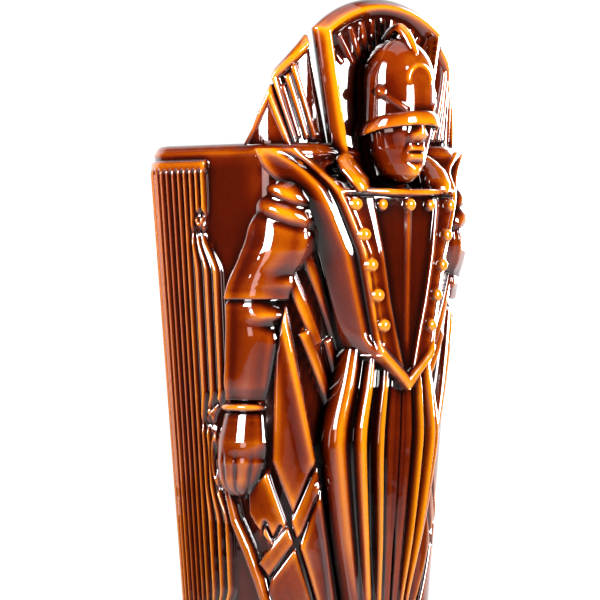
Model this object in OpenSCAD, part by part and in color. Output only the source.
/* [Foot and cup] */
// Height of the flat foot slab under the cup
foot_h = 5; // [3:0.5:9]
// How far the foot stands out past the cup's wall
foot_lip = 1.2; // [0.4:0.1:2.5]
// Half the cup's width at the table
base_half_w = 20.5; // [17:0.5:26]
// Half the cup's depth at the table
base_half_d = 18.5; // [15:0.5:23]
// Corner radius of the plan at the table
base_corner_r = 9.5; // [7:0.5:13]
// Half the cup's width at the rim
rim_half_w = 31; // [26:0.5:38]
// Half the cup's depth at the rim
rim_half_d = 28; // [23:0.5:34]
// Corner radius of the plan at the rim
rim_corner_r = 12; // [10:0.5:15]
// Thickness of the cast wall
wall = 4.5; // [3.5:0.1:6]
// Thickness of the cup's floor
floor_t = 5; // [3.5:0.5:8]

/* [Standing figure, from the foot up] */
// Height of the boots
boot_h = 56; // [46:1:64]
// Height of the breeches, boots to waist
leg_h = 63; // [52:1:76]
// Height of the torso, waist to shoulder, which is also the cup's rim
torso_h = 51.5; // [42:0.5:62]
// How far the breeches stand proud of the wall
leg_relief = 10; // [8:0.5:12]
// Half width of the breeches at the hip
hip_half_w = 18.5; // [15:0.5:22]
// Half width of the legs at the boot tops
shin_half_w = 9; // [7.5:0.5:11]
// Half the gap between the two legs
leg_gap = 0.6; // [0.3:0.1:1.5]
// Half width of the jacket front at the shoulder
jacket_half_w = 18.5; // [15:0.5:22]
// Half width of the jacket front at the waist
waist_half_w = 9.3; // [8:0.1:12]
// How far the jacket's flat front stands proud of the wall at the rim
jacket_proud = 9; // [7:0.5:11]
// How far each shoulder point reaches past the cup's side
shoulder_out = 1.2; // [0.6:0.1:3]
// Thickness of the buttoned bib on the jacket
bib_t = 2; // [1:0.25:3]
// Margin of jacket left showing round the bib
bib_margin = 1.2; // [0.8:0.1:3]
// Radius of a stud
stud_r = 1.65; // [1:0.05:2.2]
// Rows of studs down each side of the bib
stud_rows = 5; // [3:1:6]
// Distance from one stud row to the next
stud_pitch = 7.05; // [5:0.05:7.3]

/* [Arms] */
// Radius of the sleeve at the elbow
sleeve_r = 6.6; // [5:0.2:8]
// Radius of the sleeve at the cuff
wrist_r = 5; // [4:0.1:6]
// Height of the cuff band
cuff_h = 3; // [2:0.5:5]
// Height from the shoulder to the elbow
upper_arm_h = 36; // [30:1:42]
// Height from the elbow to the cuff
forearm_h = 25; // [20:1:30]
// Height of the glove
glove_h = 18.5; // [14:0.5:22]

/* [Head and crest] */
// Half width of the face
face_half_w = 8; // [6.6:0.2:9.2]
// Height of the head, chin to the top of the helmet
head_h = 34; // [28:0.5:37]
// How far the chin hangs below the rim
chin_drop = 9; // [7:0.5:11]
// Half the depth of the head, front to back
face_half_d = 7.8; // [6.4:0.2:9]
// How far the middle of the head lies in front of the cup
head_out = 6; // [5:0.5:7.5]
// Height of the crest's straight edge above the rim
crest_side_h = 27; // [21:0.5:33]
// Rise of the crest's arc above its straight edges
crest_rise = 7.5; // [5:0.5:10]
// Half width of the crest where its arc begins
crest_half_w = 19.5; // [16:0.5:23]
// Half width of the crest at the rim
crest_foot_half_w = 14.5; // [13:0.5:17]
// How far the crest stands proud of the cup's front
crest_proud = 0.8; // [0.4:0.1:1.4]
// How far the fan ribs and the bent bars stand out
bar_t = 1; // [0.6:0.1:1.6]

/* [Wall relief] */
// How far the flutes stand out
flute_t = 1.1; // [0.7:0.1:1.6]
// Distance from one flute to the next
flute_pitch = 1.85; // [1.5:0.05:2.6]
// How far the blades, bars and tails stand out
panel_t = 1.8; // [1.2:0.1:2.6]
// Half width of the plain strip down the back
spine_half_w = 7; // [5:0.5:10]

/* [Hidden] */

sheet = 0.02;          // thickness of the slices that a hull joins
reach = 60;            // longer than any half width, for prisms that only cut
corner_fn = 48;
seam = 0.05;           // hairline left between two pieces that sit side by side
brim_out = 0.9;        // how far the brim stands out past the helmet
band_h = 2.4;          // height of the rounded band below the rim
band_t = 0.5;          // how far that band stands out

boot_top_z = foot_h + boot_h;
waist_z = boot_top_z + leg_h;
rim_z = waist_z + torso_h;
chin_z = rim_z - chin_drop;
crown_z = chin_z + head_h;
crest_edge_z = rim_z + crest_side_h;
crest_top_z = crest_edge_z + crest_rise;
elbow_z = rim_z - upper_arm_h;
cuff_top_z = elbow_z - forearm_h;
cuff_foot_z = cuff_top_z - cuff_h;
glove_foot_z = cuff_foot_z - glove_h;
jacket_y = -(rim_half_d + jacket_proud);
jacket_top_z = rim_z - 10;
bib_top_z = jacket_top_z - 1;
stud_top_z = bib_top_z - 3.6;
brow_z = chin_z + head_h * 0.46;
head_y = -(rim_half_d + head_out);
front_y = min(head_y - face_half_d - brim_out, jacket_y - bib_t - stud_r);
back_y = back_reach();
middle_y = (front_y + back_y) / 2;
amber = [0.55, 0.22, 0.04];
brown = [0.33, 0.11, 0.03];
dark = [0.17, 0.05, 0.02];

// ---- the plan of the cup, which narrows evenly towards the table ----
function along(lo, hi, z) = lo + (hi - lo) * z / rim_z;
function half_w(z) = along(base_half_w, rim_half_w, z);
function half_d(z) = along(base_half_d, rim_half_d, z);
function corner_r(z) = along(base_corner_r, rim_corner_r, z);
function back_reach() = half_d(rim_z - band_h - 0.8) + flute_t;

// The whole figure and cup are placed so that the box round them is centred on the origin
module placed() {
    translate([0, -middle_y, 0]) children();
}

module plan(z, grow = 0) {
    r = corner_r(z);
    for (sx = [-1, 1], sy = [-1, 1])
        translate([sx * (half_w(z) - r), sy * (half_d(z) - r)]) circle(r = r + grow, $fn = corner_fn);
}

// The tapered block between two heights, grown outwards or inwards
module block(z0, z1, grow = 0) {
    hull() {
        translate([0, 0, z0]) linear_extrude(sheet) plan(z0, grow);
        translate([0, 0, z1 - sheet]) linear_extrude(sheet) plan(z1, grow);
    }
}

// The straight-sided block above the rim, which carries the crest
module crest_block(z0, z1, grow = 0) {
    translate([0, 0, z0]) linear_extrude(z1 - z0) hull() plan(rim_z, grow);
}

// A layer of even thickness on the outside of the cup
module skin(z0, z1, t) {
    difference() {
        block(z0, z1, t);
        block(z0 - 1, z1 + 1);
    }
}

// Everything that relief must not sink into: the cup and the crest's wall
module core() {
    block(0, rim_z + sheet);
    crest_block(rim_z, crest_top_z + 1);
}

// ---- prisms that carry a flat outline through the relief ----
module from_front() {
    rotate([90, 0, 0]) linear_extrude(reach) children();
}

// The outline as seen from the cup's front left corner: its first axis runs to the right there
module from_corner() {
    rotate([0, 0, -45]) rotate([90, 0, 0]) linear_extrude(reach) children();
}

// The outline as seen from the left: its first axis runs to the front there
module from_left() {
    rotate([0, 0, -90]) rotate([90, 0, 0]) linear_extrude(reach) children();
}

module both_sides(side) {
    if (side < 0) children();
    else mirror([1, 0, 0]) children();
}

// ---- plinth and cup ----
// The slab follows the cup's plan and reaches forward under the boots
module plinth() {
    color(brown) hull() {
        linear_extrude(foot_h) plan(0, foot_lip);
        for (s = [-1, 1]) translate([s * (base_half_w - 7), -base_half_d - 8, 0]) cylinder(r = 5, h = foot_h, $fn = 32);
    }
}

// The rounded band that runs round the rim
module rim_band() {
    color(amber) difference() {
        skin(rim_z - band_h, rim_z, band_t);
        jacket_block();
        head_block(seam);
    }
}

module cup_body() {
    color(brown) difference() {
        block(foot_h, rim_z);
        block(foot_h + floor_t, rim_z + 1, -wall);
    }
}

// ---- back and sides ----
// The plain strip narrows with the cup
module spine_block() {
    foot_half = spine_half_w * base_half_w / rim_half_w;
    rotate([-90, 0, 0]) linear_extrude(reach) polygon([
        [-foot_half, 0], [foot_half, 0], [spine_half_w, -rim_z], [-spine_half_w, -rim_z]
    ]);
}

module back_spine() {
    color(amber) intersection() {
        skin(foot_h, rim_z - band_h - 0.8, flute_t);
        spine_block();
    }
}

// A point on the cup's outside at height z: s is the share of the way from the middle of the
// left side, round the back corner, to the plain strip down the back
function flute_run(z) = [
    half_d(z) - corner_r(z), corner_r(z) * PI / 2, half_w(z) - corner_r(z) - spine_half_w * half_w(z) / rim_half_w
];
function flute_place(z, s) =
    let (run = flute_run(z), r = corner_r(z), w = half_w(z), d = half_d(z), l = s * (run[0] + run[1] + run[2]))
    l < run[0] ? [-w, l]
    : l < run[0] + run[1]
        ? let (a = (l - run[0]) / r * 180 / PI) [-(w - r) - r * cos(a), (d - r) + r * sin(a)]
        : [-(w - r) + (l - run[0] - run[1]), d];

module flute_ring(z, s, r) {
    translate(concat(flute_place(z, s), z)) cylinder(r = r, h = sheet, $fn = 8);
}

module fluted_panel(side) {
    top = rim_z - band_h - 0.8;
    run = flute_run(rim_z);
    flutes = round((run[0] + run[1] + run[2]) / flute_pitch);
    color(amber) both_sides(side) difference() {
        union() {
            intersection() {
                skin(foot_h, top, flute_t * 0.4);
                translate([-reach, 0, 0]) cube([reach - spine_half_w - seam, reach, rim_z]);
            }
            for (i = [0 : flutes - 1]) hull() {
                s = (i + 0.5) / flutes;
                flute_ring(foot_h, s, flute_t * 0.62);
                flute_ring(top - 1.2, s, flute_t);
                flute_ring(top - 0.1, s, flute_t * 0.7);
            }
        }
        block(0, rim_z + 1);
        spine_block();
    }
}

// ---- crest ----
module crest_outline(inset = 0) {
    half = crest_half_w - inset;
    radius = (half * half + crest_rise * crest_rise) / (2 * crest_rise);
    top = crest_top_z - inset;
    intersection() {
        polygon([
            [-crest_foot_half_w + inset, rim_z], [crest_foot_half_w - inset, rim_z],
            [half, crest_edge_z - inset], [half, crest_top_z],
            [-half, crest_top_z], [-half, crest_edge_z - inset]
        ]);
        translate([0, top - radius]) circle(r = radius, $fn = 160);
    }
}

module crest_arch() {
    color(brown) intersection() {
        difference() {
            crest_block(rim_z, crest_top_z, crest_proud);
            crest_block(rim_z - 1, crest_top_z + 1, -wall);
        }
        from_front() crest_outline();
    }
}

// Ribs that fan out above the helmet
module crest_fan() {
    fan_z = chin_z + head_h / 2;
    color(amber) intersection() {
        difference() {
            crest_block(rim_z, crest_top_z, crest_proud + bar_t);
            crest_block(rim_z - 1, crest_top_z + 1, crest_proud);
        }
        from_front() intersection() {
            crest_outline(1.6);
            difference() {
                translate([0, fan_z])
                    for (i = [-5 : 5]) rotate(i * 9) translate([-0.8, 0]) square([1.6, reach]);
                translate([0, fan_z]) circle(r = head_h * 0.6);
            }
        }
    }
}

module wing_outline() {
    polygon([
        [-8.6, rim_z + crest_side_h * 0.5], [-2, rim_z], [15, rim_z],
        [15, crest_edge_z], [6, crest_edge_z], [3, crest_edge_z - 2.5]
    ]);
}

module crest_wall_from_corner(grow) {
    intersection() {
        difference() {
            crest_block(rim_z, crest_top_z, grow);
            crest_block(rim_z - 1, crest_top_z + 1, -wall);
        }
        from_corner() children();
        translate([-reach, -reach, 0]) cube([reach - 4, reach, crest_top_z]);
    }
}

module crest_wing(side) {
    color(brown) both_sides(side) difference() {
        crest_wall_from_corner(0.4) wing_outline();
        from_front() offset(delta = seam) crest_outline();
    }
}

module crest_step(side) {
    color(brown) both_sides(side) difference() {
        crest_wall_from_corner(0) polygon([
            [-15.5, rim_z], [-14.2, rim_z + crest_side_h * 0.16],
            [-9, rim_z + crest_side_h * 0.4], [-2, rim_z + 4], [-2, rim_z]
        ]);
        from_corner() offset(delta = seam) wing_outline();
        from_front() offset(delta = seam) crest_outline();
    }
}

// Three parallel bars on the wing, slanted like its outer edge
module slant_bars(side) {
    lean = 6.6 / (crest_side_h * 0.5);
    color(amber) both_sides(side) difference() {
        crest_wall_from_corner(0.4 + bar_t) intersection() {
            offset(delta = -1) wing_outline();
            for (i = [0 : 2]) translate([i * 4 - 0.6, rim_z]) polygon([
                [0, 0], [1.5, 0], [1.5 - lean * crest_side_h, crest_side_h], [-lean * crest_side_h, crest_side_h]
            ]);
        }
        crest_block(rim_z - 1, crest_top_z + 1, 0.4);
        from_front() offset(delta = 2 * seam) crest_outline();
    }
}

// ---- torso ----
module jacket_front(inset = 0) {
    polygon([
        [-jacket_half_w + inset, jacket_top_z - inset * 0.4],
        [jacket_half_w - inset, jacket_top_z - inset * 0.4],
        [waist_half_w - inset * 0.8, waist_z + inset * 0.3],
        [0, waist_z - 7 + inset],
        [-waist_half_w + inset * 0.8, waist_z + inset * 0.3]
    ]);
}

module slice_at(y) {
    translate([0, y, 0]) rotate([90, 0, 0]) linear_extrude(sheet) children();
}

// The jacket is a thick shield: a small flat front, and sides that slope back to the wall
module jacket_block() {
    tip = rim_half_w + shoulder_out;
    hull() {
        slice_at(jacket_y + sheet) jacket_front();
        slice_at(-rim_half_d + 7) polygon([
            [-tip, rim_z - 1.5], [tip, rim_z - 1.5], [tip - 2, rim_z - 7],
            [waist_half_w + 13, waist_z + torso_h * 0.45], [waist_half_w + 2, waist_z + 1],
            [0, waist_z - 9],
            [-waist_half_w - 2, waist_z + 1], [-waist_half_w - 13, waist_z + torso_h * 0.45],
            [-tip + 2, rim_z - 7]
        ]);
    }
}

module jacket() {
    color(brown) difference() {
        jacket_block();
        block(waist_z - 20, rim_z + sheet);
    }
}

module bib_outline() {
    intersection() {
        jacket_front(bib_margin);
        translate([-reach, 0]) square([2 * reach, bib_top_z]);
    }
}

module bib() {
    color(dark) translate([0, jacket_y, 0]) rotate([90, 0, 0]) linear_extrude(bib_t) bib_outline();
}

// A dome on the bib's face, at the given place across and up
module stud(x, z) {
    translate([x, jacket_y - bib_t, z]) difference() {
        sphere(r = stud_r, $fn = 32);
        translate([-reach / 2, 0, -reach / 2]) cube(reach);
    }
}

// Distance of a stud from the middle of the bib, following the bib's slanting side
function stud_x(z) =
    let (slope = (jacket_half_w - waist_half_w) / (jacket_top_z - waist_z))
    waist_half_w + slope * (z - waist_z) - bib_margin - stud_r + 0.2;

module studs() {
    color(amber) {
        for (i = [0 : stud_rows - 1], s = [-1, 1]) {
            z = stud_top_z - i * stud_pitch;
            stud(s * stud_x(z), z);
        }
        for (k = [-0.5, 0, 0.5]) stud(k * 1.1 * stud_x(stud_top_z), stud_top_z);
    }
}

module collar() {
    color(brown) difference() {
        hull() for (s = [-1, 1]) {
            translate([s * 10.5, -rim_half_d - 2, jacket_top_z - 2]) cylinder(r = 3, h = 8.5, $fn = 24);
            translate([s * 4.5, jacket_y + 4, jacket_top_z - 2]) cylinder(r = 3, h = 5, $fn = 24);
        }
        block(waist_z, rim_z + sheet);
        crest_block(rim_z - sheet, crest_top_z, crest_proud + seam);
        jacket_block();
        head_block(seam);
    }
}

// ---- head ----
// The head is nearly whole, and a block of the same width ties its back to the crest
module head_block(grow = 0) {
    hull() {
        translate([0, head_y, chin_z + 10])
            scale([face_half_w - 0.6 + grow, face_half_d + grow, 10 + grow]) sphere(1, $fn = 32);
        translate([0, head_y, crown_z - 14])
            scale([face_half_w + grow, face_half_d + grow, 14 + grow]) sphere(1, $fn = 32);
        translate([0, -rim_half_d, chin_z + 7]) cylinder(r = face_half_w - 1.5 + grow, h = head_h - 12, $fn = 32);
    }
}

module behind_head() {
    block(waist_z, rim_z + sheet);
    crest_block(rim_z, crest_top_z + 1, crest_proud);
}

module face() {
    color(amber) difference() {
        head_block();
        translate([-reach / 2, -reach, brow_z - 1.5]) cube([reach, 2 * reach, reach]);
        behind_head();
        jacket_block();
    }
}

module helmet() {
    color(brown) difference() {
        head_block();
        translate([-reach / 2, -reach, brow_z + 1.5 - 2 * reach]) cube([reach, 2 * reach, 2 * reach]);
        behind_head();
    }
}

module helmet_brim() {
    color(amber) difference() {
        intersection() {
            head_block(brim_out);
            translate([-reach / 2, -reach, brow_z - 1.5]) cube([reach, 2 * reach, 3]);
        }
        behind_head();
    }
}

// ---- arms: the centre line runs from the front corner back along the cup's side ----
// A ball on the arm's line: it lies the given distances in from the cup's side and front
module arm_ball(z, in_side, in_front, r) {
    translate([-(half_w(z) - in_side), -(half_d(z) - in_front), z]) sphere(r = r, $fn = 32);
}

module shoulder_ball(grow = 0) { arm_ball(rim_z - 10, 4.5, 1, sleeve_r - 0.4 + grow); }
module elbow_ball(grow = 0) { arm_ball(elbow_z, 1.5, 17, sleeve_r + grow); }
module wrist_ball(grow = 0) { arm_ball(cuff_top_z, 1.5, 18, wrist_r + grow); }
module palm_ball(grow = 0) { arm_ball((cuff_foot_z + glove_foot_z) / 2, 1.5, 18, wrist_r + 1 + grow); }
module finger_ball(grow = 0) { arm_ball(glove_foot_z + wrist_r - 1.5, 1.5, 17.5, wrist_r - 1.5 + grow); }

module cuff_ring(z0, z1, grow = 0) {
    translate([-(half_w(cuff_top_z) - 1.5), -(half_d(cuff_top_z) - 18), z0])
        cylinder(r = wrist_r + 0.9 + grow, h = z1 - z0, $fn = 32);
}

module arm_between(z_lo, z_hi) {
    translate([-reach, -reach, z_lo]) cube([reach, reach, z_hi - z_lo]);
}

module arm_part(side, z_lo, z_hi) {
    both_sides(side) difference() {
        intersection() {
            children();
            arm_between(z_lo, z_hi);
        }
        block(glove_foot_z - 8, rim_z + 1);
    }
}

module upper_sleeve(side) {
    color(brown) difference() {
        arm_part(side, elbow_z, rim_z - 2) hull() {
            shoulder_ball();
            elbow_ball();
        }
        jacket_block();
    }
}

module forearm(side) {
    color(brown) arm_part(side, cuff_top_z, elbow_z) hull() {
        elbow_ball();
        wrist_ball();
    }
}

module cuff(side) {
    color(amber) arm_part(side, cuff_foot_z, cuff_top_z) cuff_ring(cuff_foot_z, cuff_top_z);
}

module glove(side) {
    color(brown) arm_part(side, glove_foot_z, cuff_foot_z) hull() {
        wrist_ball(-0.2);
        palm_ball();
        finger_ball();
    }
}

// ---- legs ----
// A level slice of one leg, from its inner edge to its outer edge, standing out by t
module leg_slice(z, outer, t) {
    half = (outer - leg_gap) / 2;
    translate([-leg_gap - half, -half_d(z), z]) scale([half, t, 1]) cylinder(r = 1, h = sheet, $fn = 40);
}

module breeches(side) {
    color(brown) both_sides(side) difference() {
        left_leg();
        block(0, rim_z);
        jacket_block();
    }
}

module boot(side) {
    half = shin_half_w / 2 - leg_gap / 2;
    x = -leg_gap - half;
    color(dark) both_sides(side) difference() {
        union() {
            hull() {
                leg_slice(boot_top_z - sheet, shin_half_w, leg_relief - 1);
                leg_slice(foot_h + 9, shin_half_w, leg_relief);
            }
            hull() {
                leg_slice(foot_h + 9, shin_half_w, leg_relief);
                translate([x - 0.6, -base_half_d - 7.5, foot_h]) cylinder(r = half, h = 4, $fn = 32);
                translate([x, -base_half_d, foot_h]) cylinder(r = half, h = 5, $fn = 32);
            }
        }
        block(-1, boot_top_z + 1);
    }
}

// ---- relief between the arm and the leg ----
// A flat-faced slab that stands out by t from the cup's front left corner and follows its taper
module corner_slab(z0, z1, t) {
    rotate([0, 0, -45]) hull() for (z = [z0, z1]) {
        out = ((half_w(z) - corner_r(z)) + (half_d(z) - corner_r(z))) / sqrt(2) + corner_r(z) + t;
        translate([-30, -out, z]) cube([60, 12, sheet]);
    }
}

// The same for the cup's front
module front_slab(z0, z1, t) {
    hull() for (z = [z0, z1]) translate([-half_w(z), -half_d(z) - t, z]) cube([half_w(z), 8 + t, sheet]);
}

// The left leg above the boots, with no cup cut out of it
module left_leg(grow = 0) {
    hip_z = waist_z - 17;
    hull() {
        leg_slice(waist_z + 4, waist_half_w + 5.7 + grow, leg_relief - 2);
        leg_slice(hip_z, hip_half_w + grow, leg_relief);
    }
    hull() {
        leg_slice(hip_z, hip_half_w + grow, leg_relief);
        leg_slice(boot_top_z, shin_half_w + grow, leg_relief);
    }
}

module forearm_block() {
    hull() {
        elbow_ball(seam);
        palm_ball(seam);
    }
}

// A long pointed blade on the corner
module blade(side) {
    color(amber) both_sides(side) difference() {
        intersection() {
            corner_slab(waist_z - 36, waist_z + 16, panel_t);
            from_corner() translate([0, waist_z]) polygon([
                [-3.5, 13.7], [-0.6, -3], [2.4, -20], [-2, -33.8], [-5.4, -20], [-5.6, -3]
            ]);
        }
        block(waist_z - 40, waist_z + 20);
        forearm_block();
        left_leg(seam);
    }
}

// Two bars under the blade's point that lean the same way
module crossed_bars(side) {
    color(amber) both_sides(side) difference() {
        intersection() {
            corner_slab(waist_z - 62, waist_z - 24, panel_t * 0.7);
            from_corner() translate([0, waist_z]) {
                polygon([[2.6, -25.5], [3.2, -30], [-4.6, -46], [-6, -43]]);
                polygon([[3.3, -33], [5.6, -58], [1.4, -58], [-0.8, -42]]);
            }
        }
        block(waist_z - 66, waist_z - 20);
        forearm_block();
        left_leg(seam);
    }
}

// A slanting bar with one step in it
module stepped_bar() {
    polygon([
        [-25, 17.5], [-23.2, 18.7], [-18.2, 5.2], [-19.4, 4.6], [-14, -9], [-15.6, -10],
        [-21, 3.2], [-19.8, 3.8]
    ]);
}

module stepped_bars(side) {
    color(amber) both_sides(side) difference() {
        intersection() {
            front_slab(waist_z - 12, waist_z + 26, panel_t);
            from_front() translate([0, waist_z]) {
                stepped_bar();
                translate([3.4, 5.4]) stepped_bar();
            }
        }
        block(waist_z - 16, waist_z + 30);
        jacket_block();
        left_leg(seam);
    }
}

// A rounded fold that runs from under the glove forward and down
module fold_ball(z, in_front, r) {
    translate([-half_w(z) + r * 0.4, -half_d(z) + in_front, z]) sphere(r = r, $fn = 24);
}

module fold(side) {
    top = glove_foot_z - panel_t;
    color(brown) both_sides(side) difference() {
        union() {
            hull() {
                fold_ball(top - 2, 15, panel_t);
                fold_ball(top - 13, 10.5, panel_t * 1.3);
            }
            hull() {
                fold_ball(top - 13, 10.5, panel_t * 1.3);
                fold_ball(top - 28, 7.5, panel_t * 0.8);
            }
        }
        block(top - 50, top + 20);
    }
}

placed() plinth();
placed() cup_body();
placed() rim_band();
placed() back_spine();
placed() fluted_panel(-1);  // fluted_panel_left
placed() fluted_panel(1);  // fluted_panel_right
placed() crest_arch();
placed() crest_fan();
placed() crest_wing(-1);  // crest_wing_left
placed() crest_wing(1);  // crest_wing_right
placed() crest_step(-1);  // crest_step_left
placed() crest_step(1);  // crest_step_right
placed() slant_bars(-1);  // slant_bars_left
placed() slant_bars(1);  // slant_bars_right
placed() jacket();
placed() bib();
placed() studs();
placed() collar();
placed() face();
placed() helmet();
placed() helmet_brim();
placed() upper_sleeve(-1);  // upper_sleeve_left
placed() upper_sleeve(1);  // upper_sleeve_right
placed() forearm(-1);  // forearm_left
placed() forearm(1);  // forearm_right
placed() cuff(-1);  // cuff_left
placed() cuff(1);  // cuff_right
placed() glove(-1);  // glove_left
placed() glove(1);  // glove_right
placed() breeches(-1);  // breeches_left
placed() breeches(1);  // breeches_right
placed() boot(-1);  // boot_left
placed() boot(1);  // boot_right
placed() blade(-1);  // blade_left
placed() blade(1);  // blade_right
placed() crossed_bars(-1);  // crossed_bars_left
placed() crossed_bars(1);  // crossed_bars_right
placed() stepped_bars(-1);  // stepped_bars_left
placed() stepped_bars(1);  // stepped_bars_right
placed() fold(-1);  // fold_left
placed() fold(1);  // fold_right
